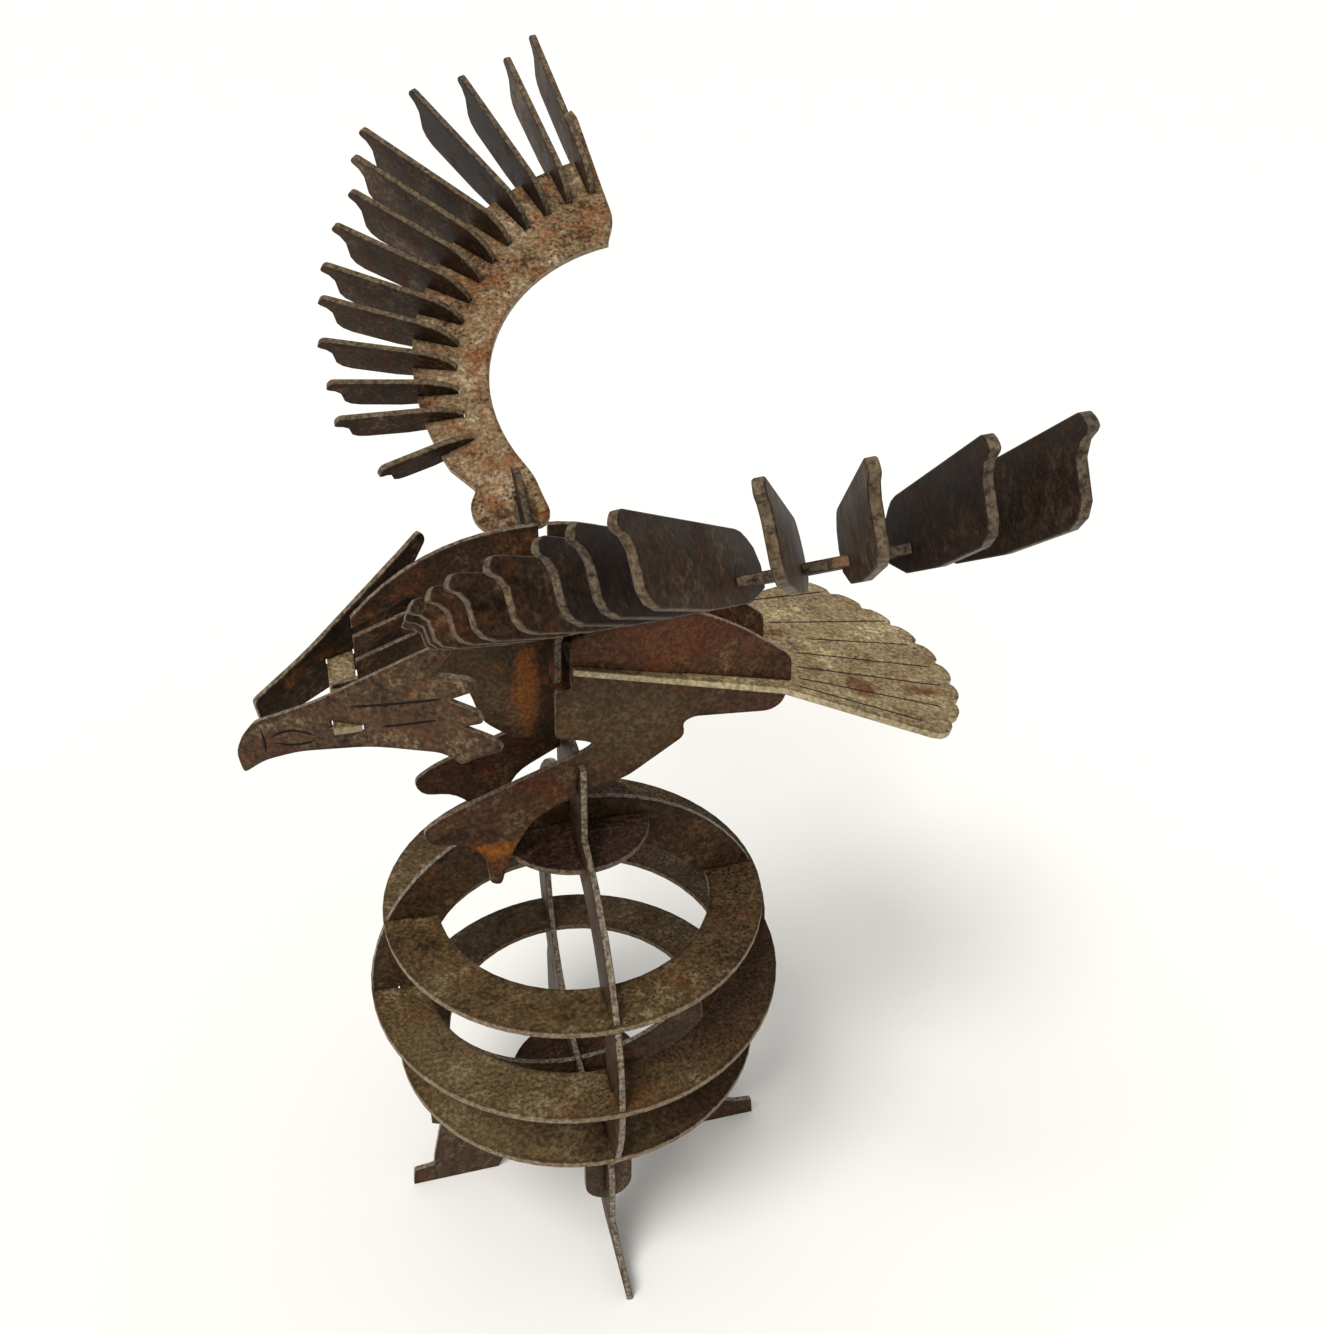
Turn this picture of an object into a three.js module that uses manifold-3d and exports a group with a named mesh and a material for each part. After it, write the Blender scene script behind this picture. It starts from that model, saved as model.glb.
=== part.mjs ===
// Eagle of slotted steel plates on a globe of rings. Millimetres, +Z up, feet on z = 0.
// -X is the way the eagle faces, -Y is its left side. Every piece is one flat plate.
import * as THREE from 'three';
import Module from 'manifold-3d';

const wasm = await Module();
wasm.setup();

// ---- driving sizes -------------------------------------------------------
const T = 3.2;               // plate thickness
const GAP = 0.3;             // clearance on each side of a slot
const SLOT = T + 2 * GAP;    // slot width

const globe = {
  centre: 147,               // height of the globe's centre
  radius: 100,               // equator ring and both upright rings
  inner: 74.5,
  band: 42.6,                // height of the upper and lower rings off the equator
  bandOuter: 90.5,
  bandInner: 65,
  equatorLap: 87,            // where the slots of crossing rings meet
  bandLap: 78,
  poleLap: 91,
  discRadius: 35.5,
  discHeight: 85,
  discCore: 9,               // uncut middle of each disc
};
const leg = {
  front: 92,                 // reach of each foot from the globe's axis
  rear: 101,
  left: 95,
  right: 94,
  toe: 12,
  heel: 46,
  knee: 79,
  tabAt: 70,
  tabWidth: 23,
  tabFoot: -95,
  bend: 0.12,                // the left leg leans back below its tab, per unit of height
};
const post = { half: 27, top: 133.7, lap: 126 };
const body = { left: -20, right: 17, yokeAt: -9.5, yokeLap: 206, sideLap: 44, keelLap: 36 };
const tail = {
  height: 182, slope: 0.228, front: -3, half: 25.5,
  fanAt: 100, skew: 8, radius: 86.5, from: -52, to: 62, feathers: 9, scallop: 4.5,
};
const head = {
  nose: -129.7, spread: 8.2, yaw: 27.2, barAt: 40, barHeight: 173, barWidth: 11, barLap: -93.5,
};
const wing = {
  // the fourteen feathers, from the tip inward: degrees from straight back, and length
  angles: [97, 100, 109, 117, 131, 133, 137, 143, 151, 155, 164, 173, 179, 199],
  lengths: [97, 88, 88, 95, 93, 85, 74, 72, 69, 66, 63, 59, 58, 47],
  primaries: 7,              // feathers of full height; the rest grow lower inward
  slotArc: { x: 90.5, y: 123.3, r: 115.1, from: 105.3, to: 190.7 },
  edgeArc: { x: 83.9, y: 132.6, r: 127.8, from: 103, to: 201 },
  innerArc: { x: 71.3, y: 119.5, r: 82.3, from: 97, to: 205 },
  lapFrom: 67,               // where the wing plate's slot meets the yoke's
  yokeEnd: 79,
  top: 20,                   // feather height over the plate at the tip
  topLast: 9,                // the same on the innermost feather
  under: 6.5,                // feather depth below the plate
};
const rightWing = { side: 1, rise: 32.2, pitch: 7.0, turn: 1.3, at: [0, 0, 189.8] };
const leftWing = { side: -1, rise: 32.0, pitch: 1.9, turn: 3.8, at: [3.9, 32.1, 172.9] };

// ---- finishes ------------------------------------------------------------
function steel(colour, roughness) {
  return new THREE.MeshStandardMaterial({ color: colour, roughness, metalness: 0.75 });
}
const ringSteel = steel(0x6f6047, 0.62);
const bodySteel = steel(0x5f4c36, 0.66);
const headSteel = steel(0x6b5b44, 0.62);
const wingSteel = steel(0x857254, 0.6);
const featherSteel = steel(0x5d4f3a, 0.62);
const tailSteel = steel(0xa39779, 0.58);

// ---- drawing helpers -----------------------------------------------------
const rad = THREE.MathUtils.degToRad;
const group = new THREE.Group();
group.name = 'steel_eagle_on_globe';

/** Points along a circle from one angle to the other, in degrees. */
function arc(x, y, r, from, to, steps) {
  const points = [];
  for (let i = 0; i <= steps; i += 1) {
    const a = rad(from + ((to - from) * i) / steps);
    points.push([x + r * Math.cos(a), y + r * Math.sin(a)]);
  }
  return points;
}

/** Closed outline whose corners [x, y, radius] are rounded where a radius is given. */
function rounded(corners, steps = 4) {
  const out = [];
  corners.forEach((corner, i) => {
    const p = new THREE.Vector2(corner[0], corner[1]);
    if (!corner[2]) {
      out.push([p.x, p.y]);
      return;
    }
    const before = corners[(i + corners.length - 1) % corners.length];
    const after = corners[(i + 1) % corners.length];
    const a = new THREE.Vector2(before[0], before[1]).sub(p);
    const b = new THREE.Vector2(after[0], after[1]).sub(p);
    const reach = Math.min(corner[2], a.length() * 0.48, b.length() * 0.48);
    const start = p.clone().add(a.setLength(reach));
    const end = p.clone().add(b.setLength(reach));
    for (let k = 0; k <= steps; k += 1) {
      const t = k / steps;
      const q = start.clone().multiplyScalar((1 - t) ** 2);
      q.addScaledVector(p, 2 * t * (1 - t)).addScaledVector(end, t * t);
      out.push([q.x, q.y]);
    }
  });
  return out;
}

function shapeOf(points) {
  return new THREE.Shape(points.map(([x, y]) => new THREE.Vector2(x, y)));
}

/** Solid plate of the given outline, centred on its own plane. */
function slab(points, holes = [], thickness = T) {
  const shape = shapeOf(points);
  holes.forEach((hole) => shape.holes.push(new THREE.Path(shapeOf(hole).getPoints())));
  const geometry = new THREE.ExtrudeGeometry(shape, {
    depth: thickness, bevelEnabled: false, curveSegments: 1,
  });
  geometry.translate(0, 0, -thickness / 2);
  return toSolid(geometry);
}

/** Cutter through a plate: starts at (x, y), runs along the angle. */
function slotAt(x, y, angle, length, width = SLOT) {
  const geometry = new THREE.BoxGeometry(length, width, T * 4);
  geometry.translate(length / 2, 0, 0);
  geometry.rotateZ(rad(angle));
  geometry.translate(x, y, 0);
  return toSolid(geometry);
}

function toSolid(geometry) {
  const copy = geometry.index ? geometry.toNonIndexed() : geometry;
  const position = copy.attributes.position;
  const seen = new Map();
  const vertices = [];
  const triangles = [];
  for (let i = 0; i < position.count; i += 1) {
    const p = [position.getX(i), position.getY(i), position.getZ(i)];
    const key = p.map((v) => Math.round(v * 1e5)).join(',');
    if (!seen.has(key)) {
      seen.set(key, vertices.length / 3);
      vertices.push(...p);
    }
    triangles.push(seen.get(key));
  }
  return new wasm.Manifold(new wasm.Mesh({
    numProp: 3,
    vertProperties: new Float32Array(vertices),
    triVerts: new Uint32Array(triangles),
  }));
}

function cut(solid, cutters) {
  return cutters.reduce((rest, cutter) => rest.subtract(cutter), solid);
}

function toGeometry(solid) {
  const mesh = solid.getMesh();
  const geometry = new THREE.BufferGeometry();
  geometry.setAttribute('position', new THREE.BufferAttribute(
    new Float32Array(mesh.vertProperties), 3));
  geometry.setIndex(new THREE.BufferAttribute(new Uint32Array(mesh.triVerts), 1));
  geometry.computeVertexNormals();
  return geometry;
}

/** Adds a named plate standing on the axes x, y, z at a point. */
function place(name, solid, material, axes, at) {
  const mesh = new THREE.Mesh(toGeometry(solid), material);
  mesh.name = name;
  const basis = new THREE.Matrix4().makeBasis(axes[0], axes[1], axes[2]);
  mesh.quaternion.setFromRotationMatrix(basis);
  mesh.position.set(at[0], at[1], at[2]);
  group.add(mesh);
  return mesh;
}

const X = new THREE.Vector3(1, 0, 0);
const Y = new THREE.Vector3(0, 1, 0);
const Z = new THREE.Vector3(0, 0, 1);
const FLAT = [X, Y, Z];                         // lies level
const LONG = [X, Z, Y.clone().negate()];        // stands along the body
const CROSS = [Y, Z, X];                        // stands across the body

// ---- globe ---------------------------------------------------------------
/** Heights in the outlines below are measured from the globe's centre. */
function at(x, y, z = 0) {
  return [x, y, globe.centre + z];
}

function levelRing(name, height, outer, inner, lap) {
  const ring = slab(arc(0, 0, outer, 0, 354, 59), [arc(0, 0, inner, 0, 352.5, 47)]);
  const start = inner - 8;
  const slots = [0, 90, 180, 270].map((a) => slotAt(
    start * Math.cos(rad(a)), start * Math.sin(rad(a)), a, lap + GAP - start));
  place(name, cut(ring, slots), ringSteel, FLAT, at(0, 0, height));
}

function disc(name, height) {
  const slots = [0, 90, 180, 270].map((a) => slotAt(
    globe.discCore * Math.cos(rad(a)), globe.discCore * Math.sin(rad(a)), a, 40));
  const plate = slab(arc(0, 0, globe.discRadius, 0, 352.5, 47));
  place(name, cut(plate, slots), ringSteel, FLAT, at(0, 0, height));
}

/** Thigh of a leg, down to its knee, drawn for the +x side. */
function thighOutline(side) {
  const knee = [
    [leg.knee - 6, -56],
    [leg.knee, -72],
    [leg.knee, -101],
    [leg.knee - 3, -102.5],
    [leg.heel - 3, -102.5],
    [leg.heel - 3, -82],
  ];
  return knee.map(([x, y]) => [x * side, y]);
}

/** Shin and foot of a leg, below its knee. */
function shinOutline(side, reach) {
  const ground = -globe.centre;
  const corners = rounded([
    [leg.knee - 4.5, -102.4, 0],
    [leg.knee + 1, ground + 17, 6],
    [reach - leg.toe, ground + 12, 4],
    [reach - 1, ground + 11, 1.5],
    [reach, ground, 0],
    [leg.heel, ground, 0],
    [leg.heel - 3, ground + 6, 0],
    [leg.heel - 3, -102.4, 0],
  ]);
  return corners.map(([x, y]) => [x * side, y]);
}

/** Leans a solid sideways below a height, by the given amount per unit of height. */
function leaned(solid, below, amount) {
  return solid.warp((v) => {
    v[2] += amount * Math.max(0, below - v[1]);
  });
}

/** Upright ring with its two legs; opensUp tells which way its pole slots face. */
function uprightRing(name, axes, opensUp, feet, extra) {
  let plate = slab(arc(0, 0, globe.radius - 0.7, 0, 354, 59), [
    arc(0, 0, globe.inner, 0, 354, 59)]);
  const cutters = [];
  [1, -1].forEach((side) => {
    const foot = feet[side];
    plate = plate.add(slab(thighOutline(side)));
    plate = plate.add(leaned(slab(shinOutline(side, foot.reach)), -102.4, foot.bend));
    const out = side > 0 ? 0 : 180;
    cutters.push(slotAt(side * (globe.equatorLap - GAP), 0, out, 60));
    cutters.push(slotAt(side * (globe.bandLap - GAP), globe.band, out, 60));
    cutters.push(slotAt(side * (globe.bandLap - GAP), -globe.band, out, 60));
    if (foot.tab) {
      cutters.push(slotAt(side * leg.tabAt, leg.tabFoot - GAP, 90, 7.6));
    }
    const window = globe.discCore + GAP;
    cutters.push(slotAt(-window, side * globe.discHeight, 0, 2 * window));
    const lap = side * globe.poleLap + (opensUp ? -GAP : GAP);
    cutters.push(slotAt(0, lap, opensUp ? 90 : -90, 40));
  });
  if (extra) {
    plate = plate.add(extra);
  }
  place(name, cut(plate, cutters), ringSteel, axes, at(0, 0));
}

/** Small rounded plate that crosses a leg. */
function legTab(name, axes, x, y) {
  const half = leg.tabWidth / 2;
  const foot = leg.tabFoot;
  const outline = [
    ...arc(0, foot + half, half, 180, 360, 12),
    [half, foot + 33],
    [-half, foot + 33],
  ];
  const tab = cut(slab(outline), [slotAt(0, foot + 7, 90, 40)]);
  place(name, tab, ringSteel, axes, at(x, y));
}

/** Post over the top pole, slotted for the eagle's two side plates. */
function postPlate() {
  const { half, top, lap } = post;
  const blank = slab([[-half, 88], [half, 88], [half, top], [-half, top]]);
  return cut(blank, [body.left, body.right].map((v) => slotAt(v, lap - GAP, 90, 30)));
}

levelRing('globe_ring_upper', globe.band, globe.bandOuter, globe.bandInner, globe.bandLap);
levelRing('globe_ring_equator', 0, globe.radius, globe.inner, globe.equatorLap);
levelRing('globe_ring_lower', -globe.band, globe.bandOuter, globe.bandInner, globe.bandLap);
uprightRing('globe_ring_long_with_legs', LONG, true, {
  '-1': { reach: leg.front, bend: 0, tab: true },
  1: { reach: leg.rear, bend: 0, tab: false },
});
uprightRing('globe_ring_cross_with_legs', CROSS, false, {
  '-1': { reach: leg.left, bend: leg.bend, tab: true },
  1: { reach: leg.right, bend: 0, tab: false },
}, postPlate());
disc('globe_disc_top', globe.discHeight);
disc('globe_disc_bottom', -globe.discHeight);
legTab('leg_tab_front', CROSS, -leg.tabAt, 0);
legTab('leg_tab_left', LONG, 0, -leg.tabAt);

// ---- wings ---------------------------------------------------------------
/** Axes of a wing: rearward in the plate, outward in the plate, and up off it. */
function wingAxes({ side, rise, pitch, turn }) {
  const outward = new THREE.Vector3(0, side * Math.cos(rad(rise)), Math.sin(rad(rise)));
  const normal = X.clone().cross(outward).multiplyScalar(side);
  const rear = X.clone().multiplyScalar(Math.cos(rad(pitch)));
  rear.addScaledVector(normal, Math.sin(rad(pitch)));
  const up = normal.clone().multiplyScalar(Math.cos(rad(pitch)));
  up.addScaledVector(X, -Math.sin(rad(pitch)));
  return [rear, outward, up].map((axis) => axis.applyAxisAngle(Z, rad(turn)));
}

/** Distance back along a wing plate at which it meets the plane x = value. */
function rearAt(spec, value, out) {
  const [rear, outward] = wingAxes(spec);
  return (value - spec.at[0] - out * outward.x) / rear.x;
}

function wingPoint(spec, back, out) {
  const [rear, outward] = wingAxes(spec);
  return new THREE.Vector3(...spec.at).addScaledVector(rear, back).addScaledVector(outward, out);
}

/** Root end, direction, length and height of feather number k, counted from the tip. */
function featherLine(k) {
  const last = wing.angles.length - 1;
  const { x, y, r, from, to } = wing.slotArc;
  const a = rad(from + ((to - from) * k) / last);
  const inward = Math.max(0, (k - wing.primaries + 1) / (last - wing.primaries + 1));
  return {
    x: x + r * Math.cos(a),
    y: y + r * Math.sin(a),
    angle: wing.angles[k],
    length: wing.lengths[k],
    height: wing.top + (wing.topLast - wing.top) * inward,
  };
}

function wingOutline() {
  const edge = wing.edgeArc;
  const inner = wing.innerArc;
  return rounded([
    [65.5, 246, 3], [63.5, 288, 3], [61.3, 293.5, 1.5], [58.3, 289, 2], [59, 257],
    ...arc(edge.x, edge.y, edge.r, edge.from, edge.to, 32),
    [-26, 74, 2], [-30.5, 66, 5], [-29.5, 57, 6], [-24, 51, 5],
    [0, 50, 4], [4.2, 56, 4], [2, 66, 6], [0.5, 76, 4],
    ...arc(inner.x, inner.y, inner.r, inner.to, inner.from, 24),
    [62.3, 205, 5], [67.2, 216, 6],
  ], 3);
}

/** Side view of a feather: straight top edge, swept tip over an S-shaped notch. */
function featherOutline(length, height) {
  const under = wing.under * (0.4 + (0.6 * height) / wing.top);
  const notch = 8 + 0.1 * length;
  const low = -under * 0.6;
  const corners = [
    [GAP, -3], [GAP, 0.2 * height], [4, 0.48 * height], [12, 0.74 * height, 4],
    [length - 3, height + 1, 1.8], [length, height - 3.4, 2],
  ];
  for (let i = 1; i <= 6; i += 1) {
    const t = i / 6;
    const sway = 0.16 * Math.sin(2 * Math.PI * t);
    const drop = (height - 3.4 - low) * (t - sway * 0.5);
    corners.push([length - notch * (t + sway), height - 3.4 - drop]);
  }
  corners.push([length * 0.45, -under], [14, -under]);
  return rounded(corners, 2);
}

function buildWing(label, spec) {
  const [rear, outward, up] = wingAxes(spec);
  const s = spec.side;
  const axes = [rear, outward.clone().multiplyScalar(s), up];
  const flip = (points) => points.map(([x, y]) => [x, y * s]);
  const cutters = [];
  for (let k = 0; k < wing.angles.length; k += 1) {
    const line = featherLine(k);
    cutters.push(slotAt(line.x, line.y * s, line.angle * s, 62));
    const along = rear.clone().multiplyScalar(Math.cos(rad(line.angle)));
    along.addScaledVector(outward, Math.sin(rad(line.angle)));
    const root = wingPoint(spec, line.x, line.y);
    const number = String(k + 1).padStart(2, '0');
    place(`feather_${label}_${number}`, slab(featherOutline(line.length, line.height)), featherSteel,
      [along, up, along.clone().cross(up)], at(root.x, root.y, root.z));
  }
  const back = rearAt(spec, body.yokeAt, wing.lapFrom);
  const lean = rearAt(spec, body.yokeAt, 40) - back;
  const angle = THREE.MathUtils.radToDeg(Math.atan2((40 - wing.lapFrom) * s, lean));
  cutters.push(slotAt(back, (wing.lapFrom + GAP) * s, angle, 40, SLOT + 0.4));
  place(`wing_plate_${label}`, cut(slab(flip(wingOutline())), cutters), wingSteel, axes,
    at(...spec.at));
}

buildWing('right', rightWing);
buildWing('left', leftWing);

/** Cross plate that carries both wings; it saddles the keel. */
function buildYoke() {
  const line = (spec, out) => {
    const p = wingPoint(spec, rearAt(spec, body.yokeAt, out), out);
    return [p.y, p.z];
  };
  const [r0, r1, r2] = [46, wing.lapFrom, wing.yokeEnd].map((w) => line(rightWing, w));
  const [l0, l1, l2] = [46, wing.lapFrom, wing.yokeEnd].map((w) => line(leftWing, w));
  const outline = rounded([
    [0, 218, 6],
    [r0[0] - 8, r0[1] + 9, 6], [r1[0], r1[1] + 10, 2], [r2[0], r2[1] + 4, 1], [r2[0] + 2, r2[1], 0],
    [r2[0], r2[1] - 4, 1], [r1[0], r1[1] - 10, 4], [24, 176, 6],
    [-24, 176, 6], [l1[0], l1[1] - 10, 4], [l2[0], l2[1] - 4, 1],
    [l2[0] - 2, l2[1], 0], [l2[0], l2[1] + 4, 1], [l1[0], l1[1] + 10, 2], [l0[0], 216, 4],
  ], 3);
  const slit = (near, far) => {
    const angle = THREE.MathUtils.radToDeg(Math.atan2(far[1] - near[1], far[0] - near[0]));
    const back = rad(angle);
    return slotAt(near[0] - GAP * Math.cos(back), near[1] - GAP * Math.sin(back), angle, 40, SLOT + 0.7);
  };
  const plate = cut(slab(outline), [slit(r1, r2), slit(l1, l2),
    slotAt(0, body.yokeLap + GAP, -90, 50)]);
  place('wing_yoke', plate, bodySteel, CROSS, at(body.yokeAt, 0));
}
buildYoke();

// ---- body ----------------------------------------------------------------
const tailHeight = (x) => tail.height - tail.slope * x;
const tailAngle = -THREE.MathUtils.radToDeg(Math.atan(tail.slope));

/** Slot along the tail plate's plane, open to the rear. */
function tailSlot(x) {
  return slotAt(x - GAP, tailHeight(x - GAP), tailAngle, 90, SLOT + 0.1);
}

function keelOutline() {
  const back = [];
  for (let i = 0; i <= 14; i += 1) {
    const x = -88 + (108 * i) / 14;
    const d = Math.abs(x + 8);
    back.push([x, 239 - (x < -8 ? 0.0022 * d ** 2 + 0.000036 * d ** 3 : 0.0077 * d ** 2)]);
  }
  return [
    ...back,
    ...rounded([[67, 199, 5], [75, 182, 4], [75, 156, 4], [58, 148, 6], [6, 137, 5],
      [-14, 135.5, 4], [-27, 139, 4], [-39, 149, 5], [-43.5, 166, 6], [-52, 176, 5],
      [-84, 166, 3], [-99, 166, 2], [-99, 176.6, 2], [-88, 178, 0]], 3),
  ];
}

/** Slit between two neck strands, narrow in front and wide behind. */
function neckSlit(z) {
  return slab([[-95, z - 1.2], [-63, z + 11], [-60, z + 15.5], [-65, z + 17], [-95, z + 2.2]], [], T * 2);
}

function buildKeel() {
  const plate = cut(slab(keelOutline()), [
    neckSlit(196),
    neckSlit(185),
    slotAt(body.yokeAt, body.yokeLap - GAP, 90, 60),
    tailSlot(body.keelLap),
    slotAt(head.barLap + GAP, head.barHeight, 180, 20),
  ]);
  place('keel_plate', plate, bodySteel, LONG, at(0, 0));
}
buildKeel();

/** Side plate with one leg: hip, shin, two toes. */
function sideOutline() {
  return rounded([
    [-3.5, 196, 3], [12, 199, 6], [47, 204, 10], [70, 192.5, 10], [93.5, 175, 4],
    [94, 161, 4], [90.5, 151, 4], [85, 148, 4], [50, 150.5, 3], [45.5, 148, 2], [46.4, 141, 3],
    [20, 123, 5], [-1, 118.5, 4], [-22, 107, 6], [-33, 88, 8], [-37, 73, 3.5],
    [-42, 75, 3.5], [-43, 91, 8], [-52, 99.5, 6], [-66, 101, 7], [-70, 109, 6], [-60, 116, 6],
    [-31, 127.3, 6], [2.5, 140, 4], [6.5, 143, 3], [2.5, 145.3, 4], [-10.5, 148.8, 2],
    [-10.2, 172.2, 1.5], [-3.5, 172.4, 1],
  ], 3);
}

function buildSides() {
  ['left', 'right'].forEach((label) => {
    const plate = cut(slab(sideOutline()), [
      tailSlot(body.sideLap),
      slotAt(0, post.lap + GAP, -90, 20),
    ]);
    place(`body_side_${label}`, plate, bodySteel, LONG, at(0, body[label]));
  });
}
buildSides();

/** Fan of tail feathers with the two rails that run forward along the body. */
function buildTail() {
  const outline = [[tail.front, -tail.half + 0.5], [91, -tail.half - 2.5]];
  const step = (tail.to - tail.from) / tail.feathers;
  for (let i = 0; i < tail.feathers; i += 1) {
    for (let j = 0; j < 6; j += 1) {
      const u = (j / 6) * 2 - 1;
      const r = tail.radius - tail.scallop * (1 - Math.sqrt(1 - u ** 2));
      const a = rad(tail.from + step * (i + j / 6));
      outline.push([tail.fanAt + r * Math.cos(a), tail.skew + r * Math.sin(a)]);
    }
  }
  const last = rad(tail.to);
  outline.push([tail.fanAt + 84 * Math.cos(last), tail.skew + 84 * Math.sin(last)]);
  outline.push([90, 52], [89, tail.half], [tail.front, tail.half]);
  const reach = (x) => (x + GAP) * Math.sqrt(1 + tail.slope ** 2) + 20;
  const plate = cut(slab(outline), [
    slotAt(-20, body.left, 0, reach(body.sideLap)),
    slotAt(-20, body.right, 0, reach(body.sideLap)),
    slotAt(-20, 0, 0, reach(body.keelLap)),
  ]);
  const lean = rad(-tailAngle);
  const along = new THREE.Vector3(Math.cos(lean), 0, -Math.sin(lean));
  place('tail_fan', plate, tailSteel, [along, Y, along.clone().cross(Y)], at(0, 0, tail.height));
}
buildTail();

// ---- head ----------------------------------------------------------------
/** One side of the head: brow, row of swept barbs behind, and the hooked beak on one. */
function headOutline(beaked) {
  const barbs = [[85, 217.5], [94, 201.5], [96, 187], [103, 175]];
  const roots = [[78, 203], [83, 192], [88, 180.5]];
  const beak = [[-8.5, 142, 2.5], [-10.5, 152, 4], [-6.5, 161, 3], [-1, 168, 2]];
  const blunt = [[2.5, 153, 1.5], [0.5, 158, 1.5], [-1, 168, 2]];
  const corners = [...(beaked ? beak : blunt), [25, 181, 8], [75, 212.8, 0]];
  barbs.forEach(([x, y], i) => {
    corners.push([x - 1, y + 1.5, 2.5], [x + 1.5, y - 3, 2.5]);
    if (roots[i]) {
      corners.push([roots[i][0], roots[i][1], 2]);
    }
  });
  corners.push([92, 166.3, 4], [87, 162.3, 2], [80, 167, 5], [50, 165.3, 8], [17.6, 157.3, 6]);
  if (beaked) {
    corners.push([2, 150.3, 4]);
  }
  return rounded(corners, 3);
}

function buildHead() {
  [['left', -1], ['right', 1]].forEach(([label, s]) => {
    const yaw = rad(head.yaw);
    const along = new THREE.Vector3(Math.cos(yaw), s * Math.sin(yaw), 0);
    const width = head.barWidth / Math.cos(yaw) + T * Math.tan(yaw) + 2 * GAP;
    const plate = cut(slab(headOutline(s < 0)), [
      slotAt(head.barAt - width / 2, head.barHeight, 0, width),
    ]);
    place(`head_${label}`, plate, headSteel, [along, Z, along.clone().cross(Z)],
      at(head.nose, s * head.spread));
  });
  const x = head.nose + head.barAt * Math.cos(rad(head.yaw));
  const half = head.spread + head.barAt * Math.sin(rad(head.yaw)) + 4;
  const w = head.barWidth / 2;
  const bar = cut(slab([[-w, -half], [w, -half], [w, half], [-w, half]]), [
    slotAt(head.barLap - GAP - x, 0, 0, 20),
  ]);
  place('head_bar', bar, tailSteel, FLAT, at(x, 0, head.barHeight));
}
buildHead();

// ---- origin: middle of the whole sculpture's box, at its feet ---------------
const box = new THREE.Box3().setFromObject(group, true);
const origin = box.getCenter(new THREE.Vector3()).setZ(box.min.z);
group.children.forEach((mesh) => mesh.position.sub(origin));

export default group;
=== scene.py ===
"""Looks of a slotted steel eagle perched on an open globe of crossed rings."""
import logging
import math
from dataclasses import dataclass, field
from enum import Enum
from typing import Any, Sequence

import bmesh
import bpy
import numpy as np
from mathutils import Matrix, Vector, noise
from mathutils.bvhtree import BVHTree
from mathutils.geometry import delaunay_2d_cdt


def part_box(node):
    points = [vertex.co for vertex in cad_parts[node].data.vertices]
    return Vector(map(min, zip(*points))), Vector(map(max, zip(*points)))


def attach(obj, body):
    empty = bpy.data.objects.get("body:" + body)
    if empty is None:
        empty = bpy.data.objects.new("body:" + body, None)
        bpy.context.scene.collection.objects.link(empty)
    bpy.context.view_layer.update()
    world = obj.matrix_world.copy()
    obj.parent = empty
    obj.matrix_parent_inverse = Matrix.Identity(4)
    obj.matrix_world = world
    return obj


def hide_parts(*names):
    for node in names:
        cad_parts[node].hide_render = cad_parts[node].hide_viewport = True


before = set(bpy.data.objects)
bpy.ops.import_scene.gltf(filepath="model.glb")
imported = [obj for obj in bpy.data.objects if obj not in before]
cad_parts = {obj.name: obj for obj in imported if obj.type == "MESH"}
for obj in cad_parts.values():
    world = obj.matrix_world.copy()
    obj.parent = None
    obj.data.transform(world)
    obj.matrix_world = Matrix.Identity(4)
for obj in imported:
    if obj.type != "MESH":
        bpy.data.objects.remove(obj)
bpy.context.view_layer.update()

LOG = logging.getLogger("eagle")
MM = 0.001
RAY_START = 10 * MM    # rays that measure a plate start this far off its faces
SHOWING = 0.95         # faces turned this near to a plate's own direction make its show face
NEARLY = 0.999         # a ratio or a cosine above this counts as 1
LEAST = 1e-9           # keeps a division clear of zero
DOUBLED = 0.1          # outline points nearer to each other than this, in mm, are one
STRAIGHT = 0.004       # a point nearer to the straight run than this, in mm, is left out
RUN = 1.3              # an outline's straight runs, in a plate's paces
CROWDED = 0.32         # inner points keep this many paces off the outline
MITRE = 0.3            # holds back the softened edge at sharp corners
FOLD_REACH = 2.5       # a fold narrows the softened edge this many bevels around it
NARROWER = 0.4         # what a fold leaves of the softened edge's width
FEWEST = 5             # an engraved line needs this many points
GROOVE_DARK = 0.3      # a groove is fully dark from this depth in mm
Rgb = tuple[float, float, float]
Row = tuple[np.ndarray, np.ndarray]    # points and a number for each, or starts and ends


def srgb(red: int, green: int, blue: int) -> Rgb:
    """Linear colour of an 8-bit display colour.

    Args:
        red: Display red, 0 to 255.
        green: Display green, 0 to 255.
        blue: Display blue, 0 to 255.

    Returns:
        The same colour as linear light.
    """
    def line(value: int) -> float:
        """Linear light of one display channel."""
        v = value / 255
        return v / 12.92 if v <= 0.04045 else ((v + 0.055) / 1.055) ** 2.4

    return line(red), line(green), line(blue)


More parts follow.
